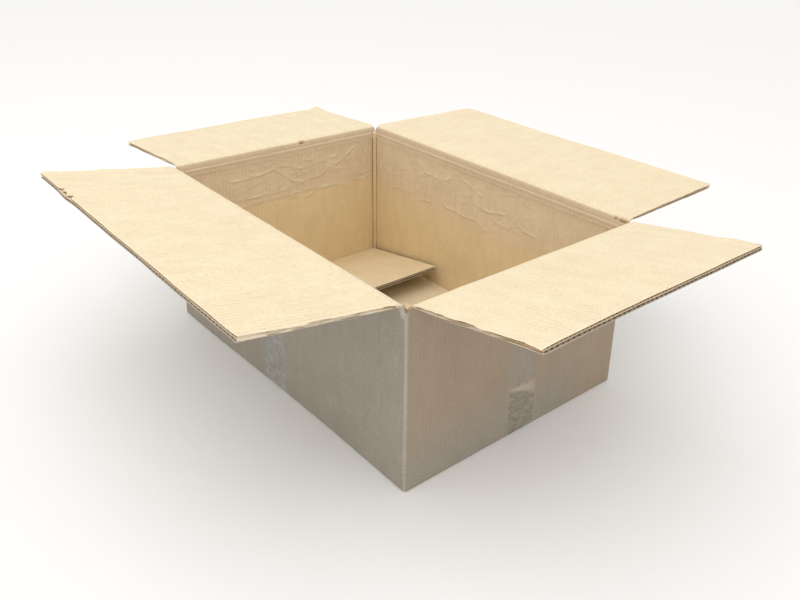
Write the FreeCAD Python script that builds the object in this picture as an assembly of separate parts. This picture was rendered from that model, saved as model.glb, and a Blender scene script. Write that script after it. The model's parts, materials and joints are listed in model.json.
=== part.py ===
import FreeCAD
import Part
import math
import os

# An open, used shipping carton of double-wall corrugated board. The blank is cut, creased and
# glued into a tube, the two long bottom flaps are taped shut over the two end ones, and the
# four top flaps stand open. X runs across the end walls, Y along the long walls, +Z is up, and
# the origin is on the underside, at the middle of the floor. Millimetres and degrees.

# Driving sizes: the walls
box_width = 400.0            # outside, along X
box_length = 590.0           # outside, along Y
rim_height = 257.0           # from the floor that it stands on to the top of the walls
board = 7.0                  # thickness of the double-wall board
corner_radius = 8.5          # outside of the four upright folds
corner_crease = 0.5          # bevel inside each upright fold
rim_crush = 4.0              # bevel on the outside of the rim, where the top flaps fold out
rim_wear = 1.5               # bevel on the inside of the rim
side_bottom_radius = 6.0     # outside of the fold under each long wall
end_bottom_radius = 3.0      # outside of the fold under each end wall

# Driving sizes: the glued joint of the tube, inside the left wall at the front corner
glue_lap_width = 35.0
glue_lap_thickness = 4.0
glue_lap_bottom = 16.0
glue_lap_top_margin = 10.0
glue_lap_taper = 12.0

# Driving sizes: the two long bottom flaps, which close the floor
floor_seam_gap = 2.0         # between their edges, along the middle of the floor
floor_end_gap = 0.5          # between their ends and the end walls

# Driving sizes: the two end bottom flaps, loose inside on top of the long ones
floor_flap_reach = 191.0
floor_flap_side_gap = 6.0    # from each side edge to the long wall
floor_flap_lift = 0.3        # running gap over the closed floor
floor_flap_root_gap = 0.5    # running gap at the end wall
floor_back_raise_angle = 9.0  # the back one has sprung up by this angle

# Driving sizes: the four top flaps
long_flap_reach = 204.0      # from the wall's outer face to the free edge
end_flap_reach = 200.0
long_flap_slot = 4.0         # how far each side edge stays inside the corner of the box
end_flap_slot = 4.0
flap_root = 3.5              # how far the flap's root reaches back over the crushed rim
flap_crush = 2.5             # how much the crease has thinned the root
flap_crush_width = 9.0       # how far the thinning runs out from the wall's outer face
fold_offset = 2.5            # the fold turns this far outside the wall's outer face
fold_clearance = 0.3         # between closed layers
left_raise_angle = 8.9       # rest angles above the horizontal
right_raise_angle = 3.1
front_raise_angle = 10.6
back_raise_angle = -2.8
right_flap_taper = 33.0      # the right flap's far corner is cut back by this much
left_flap_taper = 3.0        # the left flap's near corner is worn back by this much

# Driving sizes: the tapes
tape_thickness = 0.2
seam_tape_width = 50.0
seam_tape_centre = 3.0       # its middle, beside the middle of the front wall
seam_tape_rise_left = 75.0   # how far it runs up each end wall, at its left edge
seam_tape_rise_right = 52.0  # and at its right edge, because it was torn off askew
side_tape_width = 56.0
side_tape_centre = 6.0
side_tape_top_margin = 22.0  # from its top end to the rim
side_tape_tuck = 60.0        # how far it runs in under the floor

# Worked out from the sizes above
half_width = box_width / 2
half_length = box_length / 2
inner_half_width = half_width - board
inner_half_length = half_length - board
long_fold_height = board + fold_clearance               # above the rim: closes over the end flaps
end_fold_height = (board + fold_clearance) / 2          # above the rim: closes onto the rim
floor_flap_bottom = board + floor_flap_lift
floor_flap_top = floor_flap_bottom + board
outside_reach = 10.0         # how far cutting blocks run past what they cut

X = FreeCAD.Vector(1, 0, 0)
Y = FreeCAD.Vector(0, 1, 0)
Z = FreeCAD.Vector(0, 0, 1)


def block(low, high):
    """A box between two opposite corners."""
    size = [b - a for a, b in zip(low, high)]
    return Part.makeBox(*size, FreeCAD.Vector(*low))


def polygon(points, along):
    """A solid swept from a closed outline of points by the vector along."""
    corners = [FreeCAD.Vector(*p) for p in points]
    return Part.Face(Part.makePolygon(corners + corners[:1])).extrude(along)


def side_of_line(edge, axis, place):
    """True if both ends of the edge have the value place along the axis."""
    values = [getattr(v.Point, axis) for v in edge.Vertexes]
    return all(abs(value - place) < 1e-6 for value in values)


def upright_tube(half_x, half_y, radius, bottom, top):
    """A block with its four upright edges rounded."""
    tube = block((-half_x, -half_y, bottom), (half_x, half_y, top))
    upright = [e for e in tube.Edges if not side_of_line(e, "z", e.Vertexes[0].Z)]
    return tube.makeFillet(radius, upright)


def bottom_rounded(solid_axis, half, radius, bottom, length):
    """A long block whose two bottom edges along solid_axis are rounded."""
    if solid_axis == "y":
        low, high = (-half, -length, bottom), (half, length, rim_height + outside_reach)
    else:
        low, high = (-length, -half, bottom), (length, half, rim_height + outside_reach)
    cross_axis = "x" if solid_axis == "y" else "y"
    bar = block(low, high)
    edges = [
        e
        for e in bar.Edges
        if side_of_line(e, "z", bottom)
        and (side_of_line(e, cross_axis, -half) or side_of_line(e, cross_axis, half))
    ]
    return bar.makeFillet(radius, edges)


def outside_form(inset):
    """The outside of the closed walls and floor, moved in by inset on every side but the top."""
    half_x = half_width - inset
    half_y = half_length - inset
    form = upright_tube(half_x, half_y, corner_radius - inset, inset, rim_height)
    form = form.common(
        bottom_rounded("y", half_x, side_bottom_radius - inset, inset, box_length)
    )
    return form.common(
        bottom_rounded("x", half_y, end_bottom_radius - inset, inset, box_width)
    )


def rim_edges(solid, inside):
    """The edges of the rim's outer loop, or of its inner one."""
    found = []
    for e in solid.Edges:
        if not side_of_line(e, "z", rim_height):
            continue
        middle = e.valueAt((e.FirstParameter + e.LastParameter) / 2)
        within = (
            abs(middle.x) < inner_half_width + 1e-6
            and abs(middle.y) < inner_half_length + 1e-6
        )
        if within == inside:
            found.append(e)
    return found


def cavity():
    """The inside of the box, with the crushed strip of each upright fold across its corners."""
    x, y, c = inner_half_width, inner_half_length, corner_crease
    outline = [
        (-x + c, -y), (x - c, -y), (x, -y + c), (x, y - c),
        (x - c, y), (-x + c, y), (-x, y - c), (-x, -y + c),
    ]
    return polygon([(px, py, board) for px, py in outline], Z * rim_height)


def glue_lap():
    """The lap of the front wall, folded round the front left corner and glued inside the left wall."""
    x0 = -inner_half_width - board / 2
    x1 = -inner_half_width + glue_lap_thickness
    y0 = -inner_half_length - board / 2
    y1 = -inner_half_length + glue_lap_width
    top = rim_height - glue_lap_top_margin
    outline = [
        (x0, y0, glue_lap_bottom),
        (x0, y1, glue_lap_bottom + glue_lap_taper),
        (x0, y1, top - glue_lap_taper),
        (x0, y0, top),
    ]
    return polygon(outline, X * (x1 - x0))


def tape(cutter):
    """A strip of tape: the skin of the outside form, within a cutting solid."""
    skin = outside_form(0).cut(outside_form(tape_thickness))
    return skin.common(cutter)


def seam_tape():
    """The tape that closes the floor's seam and turns up both end walls."""
    x0 = seam_tape_centre - seam_tape_width / 2
    x1 = seam_tape_centre + seam_tape_width / 2
    y0 = -half_length - outside_reach
    outline = [
        (x0, y0, -outside_reach),
        (x1, y0, -outside_reach),
        (x1, y0, seam_tape_rise_right),
        (x0, y0, seam_tape_rise_left),
    ]
    return tape(polygon(outline, Y * (-2 * y0)))


def side_tape():
    """The strip across the middle of the left wall, tucked in under the floor."""
    y0 = side_tape_centre - side_tape_width / 2
    y1 = side_tape_centre + side_tape_width / 2
    low = (-half_width - outside_reach, y0, -outside_reach)
    high = (-half_width + side_tape_tuck, y1, rim_height - side_tape_top_margin)
    return tape(block(low, high))


def box_shell(tapes):
    """The four walls and the two long bottom flaps, one folded and glued piece."""
    shell = outside_form(0)
    shell = shell.makeChamfer(rim_crush, rim_edges(shell, False))
    shell = shell.cut(cavity())
    shell = shell.makeChamfer(rim_wear, rim_edges(shell, True))
    seam = block(
        (-floor_seam_gap / 2, -inner_half_length, -outside_reach),
        (floor_seam_gap / 2, inner_half_length, board + outside_reach),
    )
    shell = shell.cut(seam)
    for side in (-1, 1):
        y_wall = side * inner_half_length
        y_flap = side * (inner_half_length - floor_end_gap)
        slit = block(
            (-inner_half_width, min(y_wall, y_flap), -outside_reach),
            (inner_half_width, max(y_wall, y_flap), board),
        )
        shell = shell.cut(slit)
    shell = shell.fuse(glue_lap())
    for strip in tapes:
        shell = shell.cut(strip)
    return shell.removeSplitter()


def top_flap(half_span, reach, near_taper, far_taper, fold_height, raised):
    """A top flap that leans out from a wall along -Y: its fold runs along X, with the wall's
    outer face at Y = 0 and the rim at Z = 0. The tapers cut its free corners back, at -X and +X."""
    side_view = [
        (-half_span, flap_root, 0),
        (-half_span, -reach, 0),
        (-half_span, -reach, board),
        (-half_span, -flap_crush_width, board),
        (-half_span, flap_root, board - flap_crush),
    ]
    flap = polygon(side_view, X * (2 * half_span))
    plan = [
        (-half_span, flap_root + outside_reach, -outside_reach),
        (-half_span, 0, -outside_reach),
        (-half_span + near_taper, -reach, -outside_reach),
        (half_span - far_taper, -reach, -outside_reach),
        (half_span, 0, -outside_reach),
        (half_span, flap_root + outside_reach, -outside_reach),
    ]
    flap = flap.common(polygon(plan, Z * (board + 2 * outside_reach)))
    fold = FreeCAD.Vector(0, -fold_offset, fold_height)
    flap.rotate(fold, X, -raised)
    return flap


def floor_flap(raised):
    """A bottom end flap, hinged along X at Y = 0, the inner face of a wall, and reaching along +Y."""
    half_span = inner_half_width - floor_flap_side_gap
    flap = block(
        (-half_span, floor_flap_root_gap, floor_flap_bottom),
        (half_span, floor_flap_reach, floor_flap_top),
    )
    fold = FreeCAD.Vector(0, floor_flap_root_gap, floor_flap_top)
    flap.rotate(fold, X, raised)
    return flap


def placed(shape, turn, shift):
    """The shape turned about the upright axis and then moved."""
    shape.rotate(FreeCAD.Vector(0, 0, 0), Z, turn)
    shape.translate(FreeCAD.Vector(*shift))
    return shape


def build():
    """Every piece of the carton by name."""
    long_span = half_length - long_flap_slot
    end_span = half_width - end_flap_slot
    pieces = {"seam_tape": seam_tape(), "side_tape": side_tape()}
    pieces["box_shell"] = box_shell(list(pieces.values()))
    left = top_flap(long_span, long_flap_reach, 0, left_flap_taper, long_fold_height, left_raise_angle)
    right = top_flap(long_span, long_flap_reach, 0, right_flap_taper, long_fold_height, right_raise_angle)
    front = top_flap(end_span, end_flap_reach, 0, 0, end_fold_height, front_raise_angle)
    back = top_flap(end_span, end_flap_reach, 0, 0, end_fold_height, back_raise_angle)
    pieces["long_flap_left"] = placed(left, -90, (-half_width, 0, rim_height))
    pieces["long_flap_right"] = placed(right, 90, (half_width, 0, rim_height))
    pieces["end_flap_front"] = placed(front, 0, (0, -half_length, rim_height))
    pieces["end_flap_back"] = placed(back, 180, (0, half_length, rim_height))
    pieces["floor_flap_front"] = placed(floor_flap(0), 0, (0, -inner_half_length, 0))
    pieces["floor_flap_back"] = placed(floor_flap(floor_back_raise_angle), 180, (0, inner_half_length, 0))
    return pieces


os.makedirs("parts", exist_ok=True)
for name, shape in build().items():
    solids = shape.Solids
    if len(solids) != 1 or not shape.isValid():
        raise ValueError(f"{name} came out as {len(solids)} solids")
    solids[0].exportStep(f"parts/{name}.step")
    box = shape.BoundBox
    print(
        f"{name}: {solids[0].Volume / 1000:.1f} cm3,"
        f" x {box.XMin:.1f} to {box.XMax:.1f},"
        f" y {box.YMin:.1f} to {box.YMax:.1f},"
        f" z {box.ZMin:.1f} to {box.ZMax:.1f}"
    )
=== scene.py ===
# %% [markdown]
# # Dressing a used carton
#
# The object is an open shipping carton of double-wall corrugated board. Its four top flaps stand
# out from the walls, one loose floor flap has sprung up, and two strips of packing tape are on it.
# The solid model already fixes its sizes, its pieces and the creases that they turn on. What is
# left for this lesson is the board itself: three sheets of paper with two layers of flutes between
# them, creases, crumpled paper, rubbed corners and torn edges.
#
# Lengths in this file are millimetres until a mesh is made, because that is how board is measured.

# %% Load the solid model
import json
import math

import bmesh
import bpy
import numpy as np
from mathutils import Matrix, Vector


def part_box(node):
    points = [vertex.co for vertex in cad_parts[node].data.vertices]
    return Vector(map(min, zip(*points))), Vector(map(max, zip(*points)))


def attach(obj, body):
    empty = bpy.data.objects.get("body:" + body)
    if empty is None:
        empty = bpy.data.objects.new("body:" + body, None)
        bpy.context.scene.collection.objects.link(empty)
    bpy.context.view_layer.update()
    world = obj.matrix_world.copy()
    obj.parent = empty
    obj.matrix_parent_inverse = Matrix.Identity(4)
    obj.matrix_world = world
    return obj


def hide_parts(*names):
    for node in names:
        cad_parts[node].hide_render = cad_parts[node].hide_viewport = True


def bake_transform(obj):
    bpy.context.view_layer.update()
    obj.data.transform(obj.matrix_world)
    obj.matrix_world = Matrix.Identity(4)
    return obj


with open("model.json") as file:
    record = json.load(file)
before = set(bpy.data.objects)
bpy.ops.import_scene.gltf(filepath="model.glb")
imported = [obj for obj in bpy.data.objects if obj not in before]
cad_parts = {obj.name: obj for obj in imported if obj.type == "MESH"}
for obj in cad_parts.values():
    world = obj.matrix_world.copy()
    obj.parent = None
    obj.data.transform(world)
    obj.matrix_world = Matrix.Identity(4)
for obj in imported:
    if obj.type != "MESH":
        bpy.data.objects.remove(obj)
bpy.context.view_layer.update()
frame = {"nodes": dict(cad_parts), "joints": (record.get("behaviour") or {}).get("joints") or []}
MM = 0.001
print("nodes:", ", ".join(sorted(frame["nodes"])))

# %% [markdown]
# ## Sizes
#
# Everything is placed from the solid box and from its creases, so that the dressed carton stays
# where the solid one is. A crease's joint says where it turns, and its closed limit says how far
# the flap leans at rest.

# %% Read the sizes of the box
shell_low, shell_high = (np.array(corner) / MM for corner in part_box("box_shell"))
half_width, half_length, rim = shell_high
board = 7.0
inner_half_width = half_width - board
inner_half_length = half_length - board
joints = {joint["name"]: joint for joint in frame["joints"]}
print(f"box: {2 * half_width:.0f} x {2 * half_length:.0f} x {rim:.0f} mm")

# %% [markdown]
# ## The camera
#
# The photo looks down on the front left corner from head height, about a metre away. The place and
# the angles come from solving the perspective of the box's straight edges, and the small shift
# moves the frame as the photo's own framing does.

# %% Place the camera
camera_place = (-698.8, -903.5, 690.6)
camera_turn = math.radians(-41.05)
camera_tilt = math.radians(66.09)
camera_roll = math.radians(1.483)
camera_data = bpy.data.cameras.new("camera")
camera_data.sensor_width = 36.0
camera_data.lens = 36.52
camera_data.shift_x = -0.0375
camera_data.shift_y = -0.075
camera_data.clip_end = 50.0
camera = bpy.data.objects.new("camera", camera_data)
bpy.context.scene.collection.objects.link(camera)
camera.matrix_world = (
    Matrix.Translation([value * MM for value in camera_place])
    @ Matrix.Rotation(camera_turn, 4, "Z")
    @ Matrix.Rotation(camera_tilt, 4, "X")
    @ Matrix.Rotation(camera_roll, 4, "Z")
)
bpy.context.scene.camera = camera
print(f"camera: {camera_data.lens:.1f} mm lens, {np.linalg.norm(camera_place):.0f} mm away")

# %% [markdown]
# ## The light and the floor
#
# The carton stands in soft, even light on a white ground. The world gives most of it, and a wide
# lamp to the left adds the rest, so that the walls which face left are a little brighter. The
# camera and the reflections see a plain white background in place of the world's tint.

# %% Make the world
sky_low = 0.95
sky_high = 0.98
world = bpy.data.worlds.new("studio")
bpy.context.scene.world = world
world.use_nodes = True
sky = world.node_tree
sky.nodes.clear()
sky_out = sky.nodes.new("ShaderNodeOutputWorld")
sky_mix = sky.nodes.new("ShaderNodeMixShader")
sky_light = sky.nodes.new("ShaderNodeBackground")
sky_white = sky.nodes.new("ShaderNodeBackground")
sky_place = sky.nodes.new("ShaderNodeTexCoord")
sky_split = sky.nodes.new("ShaderNodeSeparateXYZ")
sky_range = sky.nodes.new("ShaderNodeMapRange")
sky_rays = sky.nodes.new("ShaderNodeLightPath")
sky_either = sky.nodes.new("ShaderNodeMath")
sky_any = sky.nodes.new("ShaderNodeMath")
sky_either.operation = "MAXIMUM"
sky_any.operation = "MAXIMUM"
sky_range.inputs["From Min"].default_value = -0.2
sky_range.inputs["From Max"].default_value = 0.9
sky_range.inputs["To Min"].default_value = sky_low
sky_range.inputs["To Max"].default_value = sky_high
sky_light.inputs["Color"].default_value = (1.0, 0.985, 0.965, 1.0)
sky_white.inputs["Color"].default_value = (1.0, 1.0, 1.0, 1.0)
sky.links.new(sky_place.outputs["Generated"], sky_split.inputs[0])
sky.links.new(sky_split.outputs["Z"], sky_range.inputs["Value"])
sky.links.new(sky_range.outputs[0], sky_light.inputs["Strength"])
sky.links.new(sky_rays.outputs["Is Camera Ray"], sky_either.inputs[0])
sky.links.new(sky_rays.outputs["Is Glossy Ray"], sky_either.inputs[1])
sky.links.new(sky_either.outputs[0], sky_any.inputs[0])
sky.links.new(sky_rays.outputs["Is Transmission Ray"], sky_any.inputs[1])
sky.links.new(sky_any.outputs[0], sky_mix.inputs[0])
sky.links.new(sky_light.outputs[0], sky_mix.inputs[1])
sky.links.new(sky_white.outputs[0], sky_mix.inputs[2])
sky.links.new(sky_mix.outputs[0], sky_out.inputs["Surface"])
print(f"sky: strength {sky_low:.2f} at the horizon, {sky_high:.2f} overhead")

# %% [markdown]
# The lamp is as wide as a window and hangs above the box to the left, so its shadows are soft.

# %% Hang the lamp
lamp_side = 2.6
lamp_height = 2.4
lamp_power = 16.0
lamp_data = bpy.data.lights.new("overhead_lamp", "AREA")
lamp_data.shape = "SQUARE"
lamp_data.size = lamp_side
lamp_data.energy = lamp_power
lamp_data.color = (1.0, 0.985, 0.96)
lamp = bpy.data.objects.new("overhead_lamp", lamp_data)
lamp.location = (-0.9, -0.1, lamp_height)
bpy.context.scene.collection.objects.link(lamp)
print(f"lamp: {lamp_power:.0f} W, {lamp_side:.1f} m wide")

# %% [markdown]
# ## Tools for paper
#
# Board has no straight line on it: every edge wanders and every face has shallow waves. `ripple`
# makes such an uneven height from a few seeded waves, so it is the same on every run. `spread`
# gives grid lines that are close together near the edges, where the wear is, and wide elsewhere.

# %% Uneven heights and grid lines


def ripple(x, y, size, seed, waves=7):
    """A smooth uneven height, mostly between -1 and 1, with bumps about size across."""
    chance = np.random.default_rng(seed)
    total = np.zeros(np.broadcast(x, y).shape)
    for _ in range(waves):
        heading = chance.uniform(0, 2 * math.pi)
        number = 2 * math.pi / (size * chance.uniform(1.2, 2.6))
        phase = chance.uniform(0, 2 * math.pi)
        total = total + np.sin(number * (x * math.cos(heading) + y * math.sin(heading)) + phase)
    return total / math.sqrt(waves)


def smooth(value, low, high):
    """0 below low, 1 above high, and a smooth step between."""
    share = np.clip((value - low) / (high - low), 0, 1)
    return share * share * (3 - 2 * share)


def spread(start, stop, spacing, near=(0.8, 2.4, 5.0)):
    """Places from start to stop, spacing apart, with closer ones near both ends."""
    count = max(2, round((stop - start - 2 * near[-1]) / spacing))
    middle = np.linspace(start + near[-1], stop - near[-1], count + 1)
    first = [start] + [start + step for step in near[:-1]]
    last = [stop - step for step in reversed(near[:-1])] + [stop]
    return np.concatenate([first, middle, last])


# %% [markdown]
# A sheet of paper is a closed mesh: an upper grid, a lower grid and a rim that joins them. Each
# mesh also carries a few values on its points for the materials: `place`, where the point lies on
# the board (across the flutes, along them, and which panel), `wear`, `grime`, `shade` and a value
# for a paler colour. The paler colour is painted light on the lit tops and on the floor, and real
# rubbing on the outside. `shade` is painted shade, and on the crease tops `wear` is also a
# painted highlight.

# %% Make a piece from points and faces


def quads(index):
    """The quads of a grid of point numbers."""
    corners = [index[:-1, :-1], index[:-1, 1:], index[1:, 1:], index[1:, :-1]]
    return np.stack(corners, axis=-1).reshape(-1, 4)


def slab_faces(rows, columns):
    """The quads of a closed sheet: upper grid, lower grid and rim."""
    upper = np.arange(rows * columns).reshape(rows, columns)
    lower = upper + rows * columns
    loop = np.concatenate([upper[0, :], upper[1:, -1], upper[-1, -2::-1], upper[-2:0:-1, 0]])
    after = np.roll(loop, -1)
    rim_quads = np.stack([after, loop, loop + rows * columns, after + rows * columns], axis=-1)
    return np.concatenate([quads(upper), quads(lower)[:, ::-1], rim_quads])


def make_piece(name, points, faces, materials, values, which=None, bend=40.0):
    """A smooth-shaded object from points in millimetres, with values on its points."""
    mesh = bpy.data.meshes.new(name)
    mesh.from_pydata((points * MM).tolist(), [], [list(face) for face in faces])
    for material in materials:
        mesh.materials.append(material)
    if which is not None:
        mesh.polygons.foreach_set("material_index", np.asarray(which, np.int32))
    work = bmesh.new()
    work.from_mesh(mesh)
    bmesh.ops.recalc_face_normals(work, faces=work.faces)
    work.to_mesh(mesh)
    work.free()
    for key in ("place", "wear", "light_and_rubbing", "grime", "shade"):
        value = values.get(key, 0.0)
        if key == "place":
            made = mesh.attributes.new(key, "FLOAT_VECTOR", "POINT")
            made.data.foreach_set("vector", (np.asarray(value) * MM).astype(np.float32).ravel())
        else:
            made = mesh.attributes.new(key, "FLOAT", "POINT")
            full = np.broadcast_to(value, len(points)).astype(np.float32)
            made.data.foreach_set("value", np.ascontiguousarray(full))
    mesh.shade_smooth()
    mesh.set_sharp_from_angle(angle=math.radians(bend))
    piece = bpy.data.objects.new(name, mesh)
    bpy.context.scene.collection.objects.link(piece)
    return piece


def slab(name, upper, lower, materials, values, bend=40.0):
    """A closed sheet between two grids of points, each rows x columns x 3."""
    rows, columns = upper.shape[:2]
    points = np.concatenate([upper.reshape(-1, 3), lower.reshape(-1, 3)])
    doubled = {}
    for key, value in values.items():
        flat = np.asarray(value, float)
        flat = flat.reshape(-1, 3) if key == "place" else flat.reshape(-1)
        doubled[key] = np.concatenate([flat, flat])
    return make_piece(name, points, slab_faces(rows, columns), materials, doubled, bend=bend)


# %% [markdown]
# ## Finishes
#
# Carton board is made of two kinds of paper. The inside liner is a warm, pale kraft. The outside
# liner is greyer and takes the rubbing and the dust. Both show the flutes under them as faint
# lines, and both are full of fibres and flecks. These effects are node groups, so that each paper
# can use them with its own values.

# %% Helpers for nodes


def paint(red, green, blue):
    """A colour as it looks on screen, 0 to 255, as the linear values that shaders take."""
    shares = [value / 255 for value in (red, green, blue)]
    return tuple(s / 12.92 if s <= 0.04045 else ((s + 0.055) / 1.055) ** 2.4 for s in shares) + (1.0,)


def add(tree, kind, inputs=None, **settings):
    """A new node with its settings, and its inputs set to a value or linked to a socket."""
    made = tree.nodes.new(kind)
    for key, value in settings.items():
        setattr(made, key, value)
    for key, value in (inputs or {}).items():
        if isinstance(value, bpy.types.NodeSocket):
            tree.links.new(value, made.inputs[key])
        else:
            made.inputs[key].default_value = value
    return made


def calculate(tree, operation, first, second=0.0, third=0.0):
    """The result of a math node on two or three values or sockets."""
    made = add(tree, "ShaderNodeMath", {0: first, 1: second, 2: third}, operation=operation)
    return made.outputs[0]


def step_between(tree, value, low, high, to_low=0.0, to_high=1.0):
    """A value mapped from low..high to to_low..to_high and held there."""
    inputs = {"Value": value, "From Min": low, "From Max": high, "To Min": to_low, "To Max": to_high}
    return add(tree, "ShaderNodeMapRange", inputs, clamp=True).outputs[0]


def tint(tree, share, first, second, blend_type="MIX"):
    """The first colour with the second one laid over it by a share."""
    made = add(tree, "ShaderNodeMix", {0: share, 6: first, 7: second}, data_type="RGBA")
    made.blend_type = blend_type
    return made.outputs[2]


def start_group(name, inputs, outputs):
    """A node group with named float or vector inputs and float outputs."""
    tree = bpy.data.node_groups.new(name, "ShaderNodeTree")
    for label, kind, value in inputs:
        socket = tree.interface.new_socket(label, in_out="INPUT", socket_type=kind)
        if value is not None:
            socket.default_value = value
    for label in outputs:
        tree.interface.new_socket(label, in_out="OUTPUT", socket_type="NodeSocketFloat")
    return tree, tree.nodes.new("NodeGroupInput"), tree.nodes.new("NodeGroupOutput")


def fill(tree, made, inputs):
    """Sets or links the inputs of a placed group."""
    for key, value in inputs.items():
        if isinstance(value, bpy.types.NodeSocket):
            tree.links.new(value, made.inputs[key])
        else:
            made.inputs[key].default_value = value
    return made


# %% [markdown]
# **Fibres.** Recycled paper is a felt of fibres: soft cloudy blotches a few centimetres wide, a
# fine grain, and scattered dark and pale flecks a millimetre or two across.

# %% Build the fibre group
group, entry, leave = start_group(
    "paper_fibres",
    [("Place", "NodeSocketVector", None), ("Fleck Size", "NodeSocketFloat", 1.0)],
    ["Cloud", "Grain", "Dark Flecks", "Pale Flecks"],
)
cloud = add(group, "ShaderNodeTexNoise", {"Vector": entry.outputs["Place"], "Scale": 22.0, "Detail": 3.0})
grain = add(
    group,
    "ShaderNodeTexNoise",
    {"Vector": entry.outputs["Place"], "Scale": 330.0, "Detail": 5.0, "Roughness": 0.75},
)
scaled = add(
    group,
    "ShaderNodeVectorMath",
    {0: entry.outputs["Place"], "Scale": entry.outputs["Fleck Size"]},
    operation="SCALE",
)
for label, scale, rare in (("Dark Flecks", 120.0, 0.74), ("Pale Flecks", 140.0, 0.75)):
    cells = add(group, "ShaderNodeTexVoronoi", {"Vector": scaled.outputs[0], "Scale": scale})
    spot = step_between(group, cells.outputs["Distance"], 0.07, 0.16, 1.0, 0.0)
    chosen = add(group, "ShaderNodeSeparateColor", {0: cells.outputs["Color"]})
    picked = step_between(group, chosen.outputs[0], rare, rare + 0.25)
    group.links.new(calculate(group, "MULTIPLY", spot, picked), leave.inputs[label])
group.links.new(cloud.outputs["Fac"], leave.inputs["Cloud"])
group.links.new(grain.outputs["Fac"], leave.inputs["Grain"])
fibres_group = group

# %% [markdown]
# ** Flute lines.** The liner is glued to the tips of the flutes, and sinks a little between them.
# That shows as faint parallel lines, stronger in some places than in others: a small bump, and
# painted shade that darkens the colour along the sunk lines.

# %% Build the flute group
group, entry, leave = start_group(
    "flute_lines",
    [("Place", "NodeSocketVector", None), ("Pitch", "NodeSocketFloat", 0.0064)],
    ["Line", "Height"],
)
across = add(group, "ShaderNodeSeparateXYZ", {0: entry.outputs["Place"]})
wander = add(group, "ShaderNodeTexNoise", {"Vector": entry.outputs["Place"], "Scale": 14.0, "Detail": 2.0})
shift = calculate(group, "MULTIPLY", wander.outputs["Fac"], 1.5)
turns = calculate(group, "DIVIDE", across.outputs["X"], entry.outputs["Pitch"])
wave = calculate(group, "SINE", calculate(group, "MULTIPLY_ADD", turns, 2 * math.pi, shift))
patchy = add(
    group,
    "ShaderNodeTexNoise",
    {
        "Vector": add(
            group,
            "ShaderNodeVectorMath",
            {0: entry.outputs["Place"], 1: (2.2, 0.55, 1.0)},
            operation="MULTIPLY",
        ).outputs[0],
        "Scale": 30.0,
        "Detail": 3.0,
    },
)
strength = step_between(group, patchy.outputs["Fac"], 0.36, 0.66)
sunk = calculate(group, "MULTIPLY", calculate(group, "MULTIPLY_ADD", wave, -0.5, 0.5), strength)
group.links.new(sunk, leave.inputs["Line"])
group.links.new(calculate(group, "MULTIPLY", sunk, -1.0), leave.inputs["Height"])
flutes_group = group

# %% [markdown]
# **Rubbed paper.** Where an edge is cut, torn or rubbed, the paper's face is gone and pale, rough
# fibres show. The `wear` value says where, and a fine noise breaks up its border.

# %% Build the rubbing group
group, entry, leave = start_group(
    "rubbed_paper",
    [
        ("Place", "NodeSocketVector", None),
        ("Wear", "NodeSocketFloat", 0.0),
        ("Break Up", "NodeSocketFloat", 0.5),
    ],
    ["Mask"],
)
rough = add(group, "ShaderNodeTexNoise", {"Vector": entry.outputs["Place"], "Scale": 240.0, "Detail": 4.0})
broken = calculate(group, "SUBTRACT", rough.outputs["Fac"], 0.5)
worn = calculate(group, "MULTIPLY_ADD", broken, entry.outputs["Break Up"], entry.outputs["Wear"])
group.links.new(step_between(group, worn, 0.25, 0.75), leave.inputs["Mask"])
rubbed_group = group

# %% [markdown]
# **Crumpled liner.** Paper that has been bent and pulled flat again keeps a net of fine creases.
# The borders between random cells, with wandering edges, make such a net.

# %% Build the crumple group
group, entry, leave = start_group(
    "crumpled_liner",
    [("Place", "NodeSocketVector", None), ("Cells", "NodeSocketFloat", 60.0)],
    ["Crease"],
)
wander = add(group, "ShaderNodeTexNoise", {"Vector": entry.outputs["Place"], "Scale": 55.0, "Detail": 3.0})
pushed = add(
    group,
    "ShaderNodeVectorMath",
    {0: wander.outputs["Color"], 1: (0.02, 0.02, 0.0), 2: entry.outputs["Place"]},
    operation="MULTIPLY_ADD",
)
net = add(
    group,
    "ShaderNodeTexVoronoi",
    {"Vector": pushed.outputs[0], "Scale": entry.outputs["Cells"]},
    feature="DISTANCE_TO_EDGE",
)
patchy = add(group, "ShaderNodeTexNoise", {"Vector": entry.outputs["Place"], "Scale": 24.0, "Detail": 2.0})
here = step_between(group, patchy.outputs["Fac"], 0.45, 0.62)
line = calculate(group, "MULTIPLY", step_between(group, net.outputs["Distance"], 0.0, 0.09, 1.0, 0.0), here)
group.links.new(line, leave.inputs["Crease"])
crumple_group = group
print("node groups:", ", ".join(tree.name for tree in bpy.data.node_groups))

# %% [markdown]
# The papers themselves. One function makes each paper, because they differ only in colour and in
# how strongly each effect shows: the inside liner, the outside liner and the fluting, which is a
# browner, rougher paper.

# %% Make the papers


def read_value(tree, name):
    """A value that the mesh carries on its points."""
    return add(tree, "ShaderNodeAttribute", None, attribute_name=name)


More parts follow.
